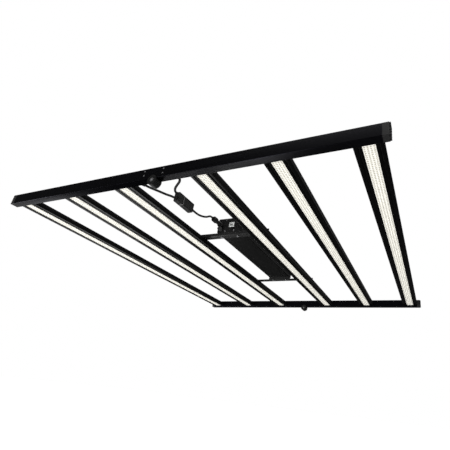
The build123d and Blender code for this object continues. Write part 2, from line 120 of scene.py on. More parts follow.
class FinishSettings(bpy.types.PropertyGroup):
    """Colours of the visible finishes."""

    anodised: bpy.props.FloatVectorProperty(
        name="Anodised black", description="Beams and bars", default=(0.0055, 0.0055, 0.006), subtype="COLOR"
    )
    case_grey: bpy.props.FloatVectorProperty(
        name="Driver grey",
        description="Extruded driver case",
        default=(0.019, 0.019, 0.0195),
        subtype="COLOR",
    )
    moulded: bpy.props.FloatVectorProperty(
        name="Moulded black", description="Caps, junction box and glands", default=(0.008, 0.008, 0.008),
        subtype="COLOR",
    )
    board: bpy.props.FloatVectorProperty(
        name="Board white",
        description="Solder mask of the LED boards",
        default=(0.475, 0.467, 0.442),
        subtype="COLOR",
    )
    phosphor: bpy.props.FloatVectorProperty(
        name="Phosphor", description="Emitters' yellow windows", default=(0.49, 0.465, 0.37), subtype="COLOR"
    )


class StageSettings(bpy.types.PropertyGroup):
    """Camera, floor and light."""

    camera_place: bpy.props.FloatVectorProperty(
        name="Camera", description="Camera's place", default=(0.5764, -1.0513, -0.4262), subtype="TRANSLATION"
    )
    heading: bpy.props.FloatProperty(
        name="Heading", description="Turn to the left of +Y", default=0.4425, subtype="ANGLE"
    )
    rise: bpy.props.FloatProperty(
        name="Rise", description="Tilt above the horizon", default=0.4104, subtype="ANGLE"
    )
    roll: bpy.props.FloatProperty(
        name="Roll", description="Turn about the view", default=0.1173, subtype="ANGLE"
    )
    lens: bpy.props.FloatProperty(name="Lens", description="Focal length in millimetres", default=28.18)
    shift: bpy.props.FloatVectorProperty(
        name="Shift", description="Lens shift across and up", default=(-0.1173, 0.0534), size=2
    )
    floor_drop: bpy.props.FloatProperty(
        name="Floor", description="How far the floor lies below the hung light", default=1.3, unit="LENGTH"
    )


# ---- shader helpers ----
class Number:
    """A socket's value. Arithmetic on it adds Math nodes."""

    def __init__(self, shader, socket):
        self.shader = shader
        self.socket = socket

    def _maths(self, operation, *values):
        node = self.shader.add("ShaderNodeMath", {"operation": operation}, values)
        return Number(self.shader, node.outputs[0])

    def __add__(self, other):
        return self._maths("ADD", self, other)

    def __radd__(self, other):
        return self._maths("ADD", other, self)

    def __sub__(self, other):
        return self._maths("SUBTRACT", self, other)

    def __rsub__(self, other):
        return self._maths("SUBTRACT", other, self)

    def __mul__(self, other):
        return self._maths("MULTIPLY", self, other)

    def __rmul__(self, other):
        return self._maths("MULTIPLY", other, self)

    def __truediv__(self, other):
        return self._maths("DIVIDE", self, other)

    def __gt__(self, other):
        return self._maths("GREATER_THAN", self, other)

    def __lt__(self, other):
        return self._maths("LESS_THAN", self, other)

    def power(self, other):
        return self._maths("POWER", self, other)

    def absolute(self):
        return self._maths("ABSOLUTE", self)

    def fraction(self):
        return self._maths("FRACT", self)

    def most(self, other):
        return self._maths("MAXIMUM", self, other)


class Shader:
    """One material with a Principled shader and the nodes that feed it."""

    def __init__(self, name, **constants):
        self.material = bpy.data.materials.new(name)
        self.material.use_nodes = True
        self.tree = self.material.node_tree
        self.surface = self.tree.nodes["Principled BSDF"]
        for socket, value in constants.items():
            self.surface.inputs[socket.replace("_", " ")].default_value = value

    def add(self, kind, settings=None, values=None):
        """A node of any type: its settings first, then its sockets' values or links, by name or in order."""
        node = self.tree.nodes.new(kind)
        settings = dict(settings or {})
        stops = settings.pop("stops", None)
        for key, value in settings.items():
            setattr(node, key, value)
        if stops:
            self._ramp(node, stops)
        pairs = values.items() if isinstance(values, dict) else enumerate(values or ())
        for key, value in pairs:
            self.feed(node.inputs[key], value)
        return node

    def _ramp(self, node, stops):
        elements = node.color_ramp.elements
        while len(elements) < len(stops):
            elements.new(0.5)
        for element, (place, colour) in zip(elements, stops):
            element.position = place
            element.color = (*colour, 1.0)

    def feed(self, socket, value):
        if isinstance(value, Number):
            self.tree.links.new(value.socket, socket)
        elif isinstance(value, bpy.types.NodeSocket):
            self.tree.links.new(value, socket)
        else:
            socket.default_value = value

    def place(self, scale=(1, 1, 1), turn=(0, 0, 0)):
        """Object coordinates through a Mapping node."""
        where = self.add("ShaderNodeTexCoord").outputs["Object"]
        values = {"Vector": where, "Scale": scale, "Rotation": turn}
        return self.add("ShaderNodeMapping", None, values).outputs["Vector"]

    def axis(self, name):
        """One Object coordinate, in metres."""
        where = self.add("ShaderNodeTexCoord").outputs["Object"]
        parts = self.add("ShaderNodeSeparateXYZ", None, {0: where})
        return Number(self, parts.outputs[name])

    def noise(self, scale, stretch=(1, 1, 1), detail=3.0, roughness=0.55):
        values = {"Vector": self.place(stretch), "Scale": scale, "Detail": detail, "Roughness": roughness}
        return Number(self, self.add("ShaderNodeTexNoise", None, values).outputs["Fac"])

    def cells(self, scale, stretch=(1, 1, 1)):
        values = {"Vector": self.place(stretch), "Scale": scale}
        return Number(self, self.add("ShaderNodeTexVoronoi", None, values).outputs["Distance"])

    def between(self, factor, low, high):
        """A colour between two others."""
        node = self.add("ShaderNodeMix", {"data_type": "RGBA"})
        for socket, value in zip((node.inputs[0], node.inputs[6], node.inputs[7]), (factor, low, high)):
            self.feed(socket, value if isinstance(value, (Number, bpy.types.NodeSocket)) else (*value, 1.0))
        return node.outputs[2]

    def clamp(self, value, low, high):
        node = self.add("ShaderNodeClamp", None, {"Value": value, "Min": low, "Max": high})
        return Number(self, node.outputs[0])

    def bump(self, height, strength, distance):
        values = {"Height": height, "Strength": strength, "Distance": distance}
        self.feed(self.surface.inputs["Normal"], self.add("ShaderNodeBump", None, values).outputs["Normal"])

    def colour(self, value):
        self.feed(self.surface.inputs["Base Color"], value)

    def rough(self, value):
        self.feed(self.surface.inputs["Roughness"], value)


def shade(colour, factor):
    """A colour made lighter or darker."""
    return tuple(min(1.0, c * factor) for c in colour)


# ---- finishes ----
def anodised(name, colour, along, roughness=0.34, sheen_level=0.32):
    """Satin black anodising with fine die lines along the extrusion and a few faint rubs."""
    shader = Shader(name, Specular_IOR_Level=sheen_level)
    stretch = tuple(0.012 if axis == along else 1.0 for axis in "XYZ")
    lines = shader.noise(900.0, stretch, 2.0)
    cloud = shader.noise(7.0)
    pores = shader.noise(4200.0, detail=1.0)
    rub_line = shader.noise(160.0, tuple(0.05 if axis == along else 1.0 for axis in "XYZ"), 4.0)
    rubs = shader.clamp((rub_line - 0.68) * 5.0, 0.0, 1.0) * shader.clamp((cloud - 0.5) * 4.0, 0.0, 1.0)
    base = shader.between(cloud, shade(colour, 0.8), shade(colour, 1.3))
    shader.colour(shader.between(rubs * 0.5, base, shade(colour, 3.4)))
    uneven = roughness + (cloud - 0.5) * 0.16 + (lines - 0.5) * 0.12 + rubs * 0.1
    shader.rough(shader.clamp(uneven, 0.15, 0.8))
    shader.bump(lines * 0.7 + pores * 0.3, 0.25, 0.00006)
    return shader.material


def moulded(name, colour, grain=2600.0, roughness=0.5):
    """Injection-moulded plastic with a spark-eroded grain."""
    shader = Shader(name, Specular_IOR_Level=0.35)
    grains = shader.cells(grain)
    cloud = shader.noise(22.0)
    shader.colour(shader.between(cloud, shade(colour, 0.75), shade(colour, 1.35)))
    shader.rough(shader.clamp(roughness + (cloud - 0.5) * 0.2, 0.2, 0.9))
    shader.bump(grains, 0.3, 0.00012)
    return shader.material


def powder_coat(name, colour, roughness=0.42):
    """Powder coat: a fine orange peel with a slight gloss."""
    shader = Shader(name, Specular_IOR_Level=0.4)
    peel = shader.noise(1100.0, detail=2.0)
    cloud = shader.noise(14.0)
    shader.colour(shader.between(cloud, shade(colour, 0.8), shade(colour, 1.3)))
    shader.rough(roughness + (peel - 0.5) * 0.2)
    shader.bump(peel, 0.35, 0.0001)
    return shader.material


def bright_steel(name, colour=(0.84, 0.84, 0.85), roughness=0.32, metal=0.15):
    """Zinc-plated steel with turning marks and a few dull spots."""
    shader = Shader(name, Metallic=metal)
    fine = shader.noise(2400.0, (1.0, 0.2, 1.0))
    spots = shader.noise(420.0, detail=4.0)
    shader.colour(shader.between(spots, shade(colour, 0.62), shade(colour, 1.2)))
    shader.rough(shader.clamp(roughness + (fine - 0.5) * 0.3 + (spots - 0.5) * 0.3, 0.12, 0.8))
    shader.bump(fine, 0.15, 0.00004)
    return shader.material


def board_mask(name, colour, pitch):
    """White solder mask with copper tracks that show through, across and along the board."""
    shader = Shader(name, Specular_IOR_Level=0.45)
    along = shader.axis("Y") / pitch
    across = shader.axis("X") / pitch
    track = shader.clamp(((along.fraction() - 0.5).absolute() - 0.40) * 14.0, 0.0, 1.0)
    rail = shader.clamp(((across.fraction() - 0.5).absolute() - 0.43) * 18.0, 0.0, 1.0)
    cloud = shader.noise(60.0)
    base = shader.between(cloud, shade(colour, 0.94), shade(colour, 1.03))
    shader.colour(shader.between(track.most(rail) * 0.5, base, shade(colour, 0.80)))
    shader.rough(0.42 + (cloud - 0.5) * 0.15)
    shader.bump(track.most(rail), 0.4, 0.00008)
    return shader.material


def phosphor_window(name, colour):
    """Cured phosphor in silicone: pale yellow, a little uneven from one emitter to the next."""
    shader = Shader(name, Coat_Weight=0.25, Coat_Roughness=0.2, Specular_IOR_Level=0.4)
    batch = shader.noise(90.0, detail=1.0)
    speck = shader.noise(5200.0, detail=2.0)
    shader.colour(shader.between(batch * 0.6 + speck * 0.4, shade(colour, 0.86), shade(colour, 1.12)))
    shader.rough(0.35 + (speck - 0.5) * 0.25)
    shader.bump(speck, 0.2, 0.00005)
    return shader.material


def emitter_package(name):
    """White moulded package round each phosphor window."""
    shader = Shader(name, Specular_IOR_Level=0.4)
    tone = shader.noise(150.0)
    shader.colour(shader.between(tone, (0.445, 0.44, 0.42), (0.52, 0.515, 0.495)))
    shader.rough(0.4 + (tone - 0.5) * 0.2)
    return shader.material


def sheath(name, colour):
    """Rubber-like cable sheath with a soft sheen and faint lay marks."""
    shader = Shader(name, Specular_IOR_Level=0.5, Sheen_Weight=0.08)
    marks = shader.noise(700.0, detail=3.0)
    cloud = shader.noise(40.0)
    shader.colour(shader.between(cloud, shade(colour, 0.8), shade(colour, 1.4)))
    shader.rough(shader.clamp(0.36 + (cloud - 0.5) * 0.25 + (marks - 0.5) * 0.12, 0.15, 0.8))
    shader.bump(marks, 0.2, 0.00012)
    return shader.material


def brushed_case(name, colour):
    """Dark grey anodised case, brushed along its length."""
    shader = Shader(name, Specular_IOR_Level=0.45)
    lines = shader.noise(1300.0, (1.0, 0.008, 1.0), 2.0)
    cloud = shader.noise(11.0)
    shader.colour(shader.between(cloud, shade(colour, 0.85), shade(colour, 1.2)))
    shader.rough(shader.clamp(0.40 + (lines - 0.5) * 0.25 + (cloud - 0.5) * 0.1, 0.2, 0.8))
    shader.bump(lines, 0.3, 0.00006)
    return shader.material


def circuit_mask(name):
    """Green solder mask with pale tracks."""
    shader = Shader(name, Coat_Weight=0.3)
    cell = shader.cells(220.0, (1.0, 0.4, 1.0))
    track = shader.clamp((cell - 0.42) * 9.0, 0.0, 1.0)
    shader.colour(shader.between(track, (0.015, 0.10, 0.04), (0.05, 0.22, 0.09)))
    shader.rough(0.35 + track * 0.1)
    shader.bump(track, 0.3, 0.0001)
    return shader.material


def wound_core(name):
    """Dark ferrite with bands of yellow tape."""
    shader = Shader(name)
    band = shader.clamp(((shader.axis("Y") * 25.0).fraction() - 0.62) * 30.0, 0.0, 1.0)
    grit = shader.noise(900.0)
    shader.colour(shader.between(band, (0.025, 0.024, 0.023), (0.55, 0.40, 0.05)))
    shader.rough(0.6 - band * 0.25 + (grit - 0.5) * 0.15)
    shader.bump(grit, 0.3, 0.0001)
    return shader.material


def shrink_sleeve(name):
    """Glossy sleeve of a capacitor with a pale polarity stripe."""
    shader = Shader(name, Coat_Weight=0.3)
    stripe = shader.clamp((shader.noise(35.0, (1.0, 1.0, 0.05)) - 0.58) * 40.0, 0.0, 1.0)
    shader.colour(shader.between(stripe, (0.012, 0.02, 0.07), (0.45, 0.47, 0.5)))
    shader.rough(0.25 + stripe * 0.2)
    return shader.material


def floor_paper(name):
    """Plain pale studio paper."""
    shader = Shader(name, Specular_IOR_Level=0.0)
    tone = shader.noise(1.5)
    shader.colour(shader.between(tone, (0.93, 0.93, 0.93), (0.96, 0.96, 0.96)))
    shader.rough(0.9 + (tone - 0.5) * 0.1)
    return shader.material


def finish(name):
    """The object's finishes, each made once, under the names of the record's material slots."""
    made = bpy.data.materials.get(name)
    if made:
        return made
    colours = bpy.context.scene.grow_light_finish
    bars = bpy.context.scene.grow_light_bar
    makers = {
        "anodised_beam": lambda: anodised(name, tuple(colours.anodised), "X"),
        "anodised_bar": lambda: anodised(name, tuple(colours.anodised), "Y", 0.36),
        "moulded_cap": lambda: moulded(name, tuple(colours.moulded)),
        "cast_black": lambda: powder_coat(name, tuple(colours.moulded), 0.38),
        "zinc_steel": lambda: bright_steel(name, (0.5, 0.5, 0.49), 0.4),
        "led_board": lambda: board_mask(name, tuple(colours.board), bars.emitter_pitch),
        "emitter_package": lambda: emitter_package(name),
        "phosphor": lambda: phosphor_window(name, tuple(colours.phosphor)),
        "bright_screw": lambda: bright_steel(name),
        "lead_sheath": lambda: sheath(name, (0.010, 0.010, 0.011)),
        "painted_rail": lambda: powder_coat(name, (0.012, 0.012, 0.013), 0.36),
        "rubber_pad": lambda: moulded(name, (0.015, 0.015, 0.015), 900.0, 0.8),
        "driver_case": lambda: brushed_case(name, tuple(colours.case_grey)),
        "driver_cap": lambda: powder_coat(name, tuple(colours.moulded), 0.45),
        "circuit_board": lambda: circuit_mask(name),
        "ferrite": lambda: wound_core(name),
        "capacitor_sleeve": lambda: shrink_sleeve(name),
        "circuit_part": lambda: moulded(name, (0.02, 0.02, 0.02), 1500.0, 0.45),
        "gland_nylon": lambda: moulded(name, (0.010, 0.010, 0.010), 1800.0, 0.42),
        "port_plastic": lambda: moulded(name, (0.035, 0.035, 0.035), 1500.0, 0.45),
        "splitter_plastic": lambda: moulded(name, (0.007, 0.007, 0.007), 1900.0, 0.46),
        "splitter_seal": lambda: moulded(name, (0.30, 0.30, 0.30), 1200.0, 0.6),
        "knob_plastic": lambda: moulded(name, (0.05, 0.05, 0.05), 1600.0, 0.5),
    }
    return makers[name]()


# ---- mesh helpers ----
def piece(name, mesh_edit, slots, body, replaced=(), angle=SMOOTH_ANGLE):
    """Turns a bmesh into an object at the origin that rides on a body."""
    bmesh.ops.recalc_face_normals(mesh_edit, faces=mesh_edit.faces)
    mesh = bpy.data.meshes.new(name)
    mesh_edit.to_mesh(mesh)
    mesh_edit.free()
    mesh.shade_smooth()
    mesh.set_sharp_from_angle(angle=angle)
    made = bpy.data.objects.new(name, mesh)
    bpy.context.scene.collection.objects.link(made)
    for material in slots:
        mesh.materials.append(finish(material))
    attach(made, body)
    if replaced:
        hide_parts(*replaced)
    return made


def body_of(node):
    """The CAD body that a node belongs to."""
    for body, nodes in frame["record"]["behaviour"]["bodies"].items():
        if node in nodes:
            return body
    raise RuntimeError("no body holds " + node)


def slot_of(node):
    for entry in frame["record"]["subparts"]:
        if entry["node"] == node:
            return entry["material_slot"]
    raise RuntimeError("no material slot for " + node)


def sharp_edges(edit, limit, shortest):
    """Edges between two faces that meet at more than a limit and are longer than a given length."""
    found = []
    for edge in edit.edges:
        if len(edge.link_faces) == 2 and edge.calc_length() > shortest and edge.calc_face_angle() > limit:
            found.append(edge)
    return found


def soften(edit, edges, offset, segments=2):
    bmesh.ops.bevel(
        edit, geom=edges, offset=offset, offset_type="OFFSET", segments=segments, profile=0.5,
        affect="EDGES", material=-1, clamp_overlap=True,
    )


def refined(node, offset, shortest):
    """A merged copy of a CAD node with its long sharp edges eased, which stands for it."""
    edit = bmesh.new()
    edit.from_mesh(frame["nodes"][node].data)
    bmesh.ops.remove_doubles(edit, verts=edit.verts, dist=1e-6)
    bmesh.ops.dissolve_limit(
        edit, angle_limit=math.radians(0.5), verts=edit.verts, edges=edit.edges, delimit={"NORMAL"}
    )
    if offset:
        edges = sharp_edges(edit, math.radians(50), shortest)
        bmesh.ops.bevel(
            edit, geom=edges, offset=offset, offset_type="OFFSET", segments=2, profile=0.5,
            affect="EDGES", material=-1, clamp_overlap=False,
        )
    return piece(node + "_shell", edit, [slot_of(node)], body_of(node), (node,))


def add_box(edit, low, high, edge=0.0, segments=2):
    """A box between two corners, with eased edges."""
    low, high = Vector(low), Vector(high)
    middle = (low + high) / 2
    size = high - low
    place = Matrix.Translation(middle) @ Matrix.Diagonal((*size, 1.0))
    made = bmesh.ops.create_cube(edit, size=1.0, matrix=place)["verts"]
    if edge:
        edges = {e for v in made for e in v.link_edges}
        soften(edit, list(edges), edge, segments)
    return made


def add_turned(edit, profile, centre, segments=32):
    """A solid of revolution about an axis along Y: profile is radius and distance along Y from the centre."""
    start = [edit.verts.new((centre[0] + r, centre[1] + y, centre[2])) for r, y in profile]
    edges = [edit.edges.new(pair) for pair in zip(start, start[1:])]
    bmesh.ops.spin(
        edit, geom=start + edges, cent=centre, axis=(0, 1, 0), angle=math.tau, steps=segments, use_merge=True
    )
    bmesh.ops.remove_doubles(edit, verts=edit.verts, dist=1e-7)


def add_fluted(edit, centre, reach, radii, flutes, depth):
    """A ribbed nut along Y from a centre, whose ribs taper with it."""
    steps = flutes * 4
    turn = Matrix.Rotation(math.radians(-90 if reach > 0 else 90), 4, "X")
    middle = Vector(centre) + Vector((0, reach / 2, 0))
    made = bmesh.ops.create_cone(
        edit, cap_ends=True, segments=steps, radius1=radii[0], radius2=radii[1], depth=abs(reach),
        matrix=Matrix.Translation(middle) @ turn,
    )["verts"]
    for vertex in made:
        out = Vector((vertex.co.x - centre[0], 0, vertex.co.z - centre[2]))
        if out.length < 1e-6:
            continue
        step = round(math.atan2(out.z, out.x) / math.tau * steps) % 4
        if step in (1, 2):
            vertex.co += out.normalized() * depth


def add_hexagon(edit, centre, reach, across_flats, edge):
    """A hexagon nut along Y with eased corners."""
    middle = Vector(centre) + Vector((0, reach / 2, 0))
    place = Matrix.Translation(middle) @ Matrix.Rotation(math.radians(90), 4, "X")
    radius = across_flats / 2 / math.cos(math.radians(30))
    made = bmesh.ops.create_cone(
        edit, cap_ends=True, segments=6, radius1=radius, radius2=radius, depth=abs(reach), matrix=place
    )["verts"]
    soften(edit, list({e for v in made for e in v.link_edges}), edge)


# ---- light bars ----
def bar_outline(low, high, settings):
    """The extrusion's outline in X and Z, from its lower left corner round."""
    middle = (low.x + high.x) / 2
    half = (high.x - low.x) / 2
    top_half = half - 1.7 * MM
    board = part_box("led_board_inner_left")
    board_half = (board[1].x - board[0].x) / 2 + 0.2 * MM
    recess = board[1].z - low.z
    groove = half - 9.8 * MM
    wide = settings.groove_width / 2
    left = [(-half, 0), (-groove - wide, 0), (-groove, settings.groove_depth), (-groove + wide, 0)]
    left += [(-board_half, 0), (-board_half, recess)]
    right = [(-x, z) for x, z in reversed(left)]
    height = high.z - low.z
    sides = [(half, 3 * MM), (top_half, height)]
    top = []
    pitch, gap, deep = 6.0 * MM, 1.2 * MM, 1.9 * MM
    for n in range(settings.fins):
        x = ((settings.fins - 1) / 2 - n) * pitch
        top += [(x + gap, height), (x + gap, height - deep), (x - gap, height - deep), (x - gap, height)]
    outline = left + right + sides + top + [(-top_half, height), (-half, 3 * MM)]
    return [(middle + x, low.z + z) for x, z in outline]


def light_bar(name, half, settings):
    """One extruded bar with its grooves, board channel and cooling fins."""
    node = "bar_" + name + "_" + half
    low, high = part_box(node)
    edit = bmesh.new()
    outline = [edit.verts.new((x, low.y, z)) for x, z in bar_outline(low, high, settings)]
    end = edit.faces.new(outline)
    grown = bmesh.ops.extrude_face_region(edit, geom=[end])["geom"]
    moved = [g for g in grown if isinstance(g, bmesh.types.BMVert)]
    bmesh.ops.translate(edit, verts=moved, vec=(0, high.y - low.y, 0))
    bmesh.ops.recalc_face_normals(edit, faces=edit.faces)
    length = high.y - low.y
    long_edges = [e for e in edit.edges if e.calc_length() > length * 0.9]
    feet = [e for e in long_edges if e.verts[0].co.z < low.z + 0.1 * MM]
    feet = [e for e in feet if min(abs(e.verts[0].co.x - low.x), abs(e.verts[0].co.x - high.x)) < 0.1 * MM]
    soften(edit, feet, settings.foot_radius, 3)
    still_long = [e for e in edit.edges if e.calc_length() > length * 0.9]
    rest = [e for e in still_long if e.calc_face_angle(0) > math.radians(25)]
    soften(edit, rest, settings.edge_radius, 2)
    return piece("light_" + node, edit, ["anodised_bar"], body_of(node), (node,))


def emitter(edit, x, y, z, size):
    """One emitter that faces down: a package with its window set in its underside."""
    place = Matrix.Translation((x, y, z)) @ Matrix.Diagonal((size * 0.86, size, size * 0.2, 1.0))
    made = bmesh.ops.create_cube(edit, size=1.0, matrix=place)["verts"]
    under = min({f for v in made for f in v.link_faces}, key=lambda f: f.calc_center_median().z)
    bmesh.ops.inset_individual(edit, faces=[under], thickness=size * 0.12, depth=-size * 0.03)
    under.material_index = 1


def emitters(name, half, settings):
    """Rows of emitters along the underside of one board."""
    node = "led_board_" + name + "_" + half
    low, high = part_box(node)
    edit = bmesh.new()
    count = int((high.y - low.y - 10 * MM) / settings.emitter_pitch)
    spread = (high.x - low.x) / settings.emitter_rows
    centre = (low.x + high.x) / 2
    first = -(count - 1) / 2 * settings.emitter_pitch
    under = low.z - settings.emitter_size * 0.1
    for row in range(settings.emitter_rows):
        x = centre + (row - (settings.emitter_rows - 1) / 2) * spread
        emitter(edit, x, first, under, settings.emitter_size)
    row_geometry = list(edit.verts) + list(edit.edges) + list(edit.faces)
    for step in range(1, count):
        copied = bmesh.ops.duplicate(edit, geom=row_geometry)["geom"]
        moved = [g for g in copied if isinstance(g, bmesh.types.BMVert)]
        bmesh.ops.translate(edit, verts=moved, vec=(0, step * settings.emitter_pitch, 0))
    slots = ["emitter_package", "phosphor"]
    return piece("emitters_" + name + "_" + half, edit, slots, body_of(node))


# ---- junction box, glands and leads ----
# Control points of each lead, in metres.
LEAD_ROUTES = {
    "lead_left": [
        (-0.050, -0.524, 0.0255),
        (-0.0485, -0.512, 0.027),
        (-0.041, -0.492, 0.0295),
        (-0.032, -0.470, 0.031),
        (-0.027, -0.455, 0.0342),
        (-0.025, -0.445, 0.0355),
    ],
    "lead_right": [
        (0.044, -0.525, 0.036),
        (0.043, -0.513, 0.0365),
        (0.034, -0.502, 0.0375),
        (0.020, -0.493, 0.0365),
        (0.006, -0.483, 0.036),
        (-0.008, -0.468, 0.042),
        (-0.020, -0.455, 0.049),
        (-0.025, -0.445, 0.051),
    ],
    "lead_driver": [
        (-0.025, -0.369, 0.043),
        (-0.0245, -0.353, 0.0415),
        (-0.023, -0.330, 0.044),
        (-0.029, -0.296, 0.060),
        (-0.036, -0.273, 0.0775),
        (-0.037, -0.260, 0.0807),
        (-0.037, -0.252, 0.0807),
    ],
}
LEAD_DIAMETER = 0.006


def route_curve(name, points, thickness):
    """A NURBS curve with the route's points as its control points."""
    data = bpy.data.curves.new(name, "CURVE")
    data.dimensions = "3D"
    spline = data.splines.new("NURBS")
    spline.points.add(len(points) - 1)
    for control, point in zip(spline.points, points):
        control.co = (*point, 1.0)
    spline.order_u = 3
    spline.use_endpoint_u = True
    spline.resolution_u = 16
    data.bevel_depth = thickness
    data.bevel_resolution = 6
    data.use_fill_caps = thickness > 0
    made = bpy.data.objects.new(name, data)
    bpy.context.scene.collection.objects.link(made)
    return made


def line_of(points):
    """Points along a route's smooth line."""
    curve = route_curve("route_line", points, 0.0)
    mesh = bpy.data.meshes.new_from_object(curve)
    line = [vertex.co.copy() for vertex in mesh.vertices]
    bpy.data.objects.remove(curve)
    bpy.data.meshes.remove(mesh)
    return line


def length_of(line):
    return sum((b - a).length for a, b in zip(line, line[1:]))


def lead_tube(name, points):
    """The same lead as a mesh tube, for the one that crosses the fold."""
    curve = route_curve(name + "_guide", points, LEAD_DIAMETER / 2)
    mesh = bpy.data.meshes.new_from_object(curve)
    mesh.name = name
    bpy.data.objects.remove(curve)
    made = bpy.data.objects.new(name, mesh)
    bpy.context.scene.collection.objects.link(made)
    return made


def junction_block(edit, low, high):
    """A moulded half shell with a shallow sunk panel on each broad side."""
    made = add_box(edit, low, high)
    faces = {f for v in made for f in v.link_faces}
    broad = [f for f in faces if abs(f.normal.x) > 0.9]
    touching = {e for v in made for e in v.link_edges}
    edges = [e for e in touching if abs((e.verts[0].co - e.verts[1].co).y) > 1e-4]
    bmesh.ops.inset_individual(edit, faces=broad, thickness=3.2 * MM, depth=0.0)
    bmesh.ops.inset_individual(edit, faces=broad, thickness=0.5 * MM, depth=-0.5 * MM)
    soften(edit, edges, 2.2 * MM, 4)
    rims = sharp_edges(edit, math.radians(60), 4 * MM)
    soften(edit, rims, 0.35 * MM)


def relief_profile(inner, start, length, rings):
    """Ribbed tapered strain relief: radius and distance, closed on its axis side by the bore."""
    profile = [(inner, 0.0), (start, 0.0)]
    step = length / rings
    for n in range(rings):
        radius = start - (start - inner - 0.6 * MM) * (n + 1) / rings
        begin = n * step
        profile += [(radius + 0.5 * MM, begin + step * 0.55)]
        profile += [(radius, begin + step * 0.62), (radius, begin + step)]
    return profile + [(inner, length)]


def junction_box():
    """The Y-junction: shell, cover, seal and its three ribbed cable entries."""
    port = 6 * MM
    low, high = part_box("splitter_body")
    edit = bmesh.new()
    junction_block(edit, low, (high.x, high.y - port, high.z))
    centre = ((low.x + high.x) / 2, high.y - port, (low.z + high.z) / 2)
    bore = LEAD_DIAMETER / 2
    add_turned(edit, relief_profile(bore, 6.0 * MM, port, 3), centre)
    body = body_of("splitter_body")
    shell = piece("junction_shell", edit, ["splitter_plastic"], body, ("splitter_body",))

    low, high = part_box("splitter_cover")
    edit = bmesh.new()
    junction_block(edit, (low.x, low.y + port, low.z), high)
    for route in ("lead_left", "lead_right"):
        x, _, z = LEAD_ROUTES[route][-1]
        profile = [(r, -d) for r, d in relief_profile(bore, 4.8 * MM, port, 3)]
        add_turned(edit, profile, (x, low.y + port, z))
    cover = piece("junction_cover", edit, ["splitter_plastic"], body, ("splitter_cover",))

    seam_low, seam_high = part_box("splitter_seal")
    edit = bmesh.new()
    inset = 0.1 * MM
    add_box(
        edit,
        (low.x + inset, seam_low.y, low.z + inset),
        (high.x - inset, seam_high.y, high.z - inset),
    )
    long_edges = [e for e in edit.edges if abs(e.verts[0].co.y - e.verts[1].co.y) > 1e-5]
    soften(edit, long_edges, 2.1 * MM, 4)
    seal = piece("junction_seal", edit, ["splitter_seal"], body, ("splitter_seal",))
    return [shell, cover, seal]


def domed_nut(radius, length, bore):
    """Profile of a cable nut: a ribbed grip, a rounded shoulder and a lip round the bore."""
    round_off = radius * 0.5
    profile = [(bore, 0.0), (radius - 1.0 * MM, 0.0), (radius, 0.8 * MM)]
    grip = length - round_off - 2 * MM
    for n in range(3):
        step = 1.5 * MM + grip * n / 3
        profile += [(radius, step), (radius - 0.35 * MM, step + 0.3 * MM)]
        profile += [(radius - 0.35 * MM, step + 0.8 * MM)]
        profile.append((radius, step + 1.1 * MM))
    for n in range(7):
        angle = math.radians(n * 15)
        out = radius - round_off + round_off * math.cos(angle)
        profile.append((out, length - round_off + round_off * math.sin(angle)))
    return profile + [(bore + 0.6 * MM, length), (bore, length - 0.8 * MM)]


def chassis_gland(name, node, bore, nut_length, plugged):
    """Cable gland that points along -Y: thread, hexagon, neck and domed nut."""
    low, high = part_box(node)
    x, z = (low.x + high.x) / 2, (low.z + high.z) / 2
    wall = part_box("driver_cap_near")[0].y
    radius = min((high.z - low.z) / 2, 9 * MM)
    edit = bmesh.new()
    add_turned(edit, [(bore, 0), (6 * MM, 0), (6 * MM, high.y - wall), (bore, high.y - wall)], (x, wall, z))
    add_hexagon(edit, (x, wall, z), -6 * MM, 17 * MM, 0.5 * MM)
    nut_back = low.y + nut_length
    neck = wall - 6 * MM - nut_back + 2 * MM
    add_turned(edit, [(bore, 0), (6.4 * MM, 0), (6.4 * MM, -neck), (bore, -neck)], (x, wall - 6 * MM, z))
    add_turned(edit, [(r, -d) for r, d in domed_nut(radius, nut_length, bore)], (x, nut_back, z), 40)
    if plugged:
        blank = [(0, 0), (4.2 * MM, 0), (3.9 * MM, -0.6 * MM), (0, -0.8 * MM)]
        add_turned(edit, blank, (x, low.y + 0.8 * MM, z))
    return piece(name, edit, ["gland_nylon"], body_of(node), (node,))


def beam_gland(half):
    """Low gland where a lead leaves the inner wall of the near beam."""
    node = "beam_gland_" + half
    low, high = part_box(node)
    x, z = (low.x + high.x) / 2, (low.z + high.z) / 2
    wall = low.y + 6 * MM
    bore = LEAD_DIAMETER / 2
    edit = bmesh.new()
    add_turned(edit, [(bore, 0), (4.5 * MM, 0), (4.5 * MM, -6 * MM), (bore, -6 * MM)], (x, wall, z))
    add_hexagon(edit, (x, wall, z), 4 * MM, 12 * MM, 0.4 * MM)
    add_fluted(edit, (x, wall + 4 * MM, z), high.y - wall - 4 * MM, (5.2 * MM, 4.2 * MM), 10, 0.4 * MM)
    return piece("lead_gland_" + half, edit, ["gland_nylon"], body_of(node), (node,))


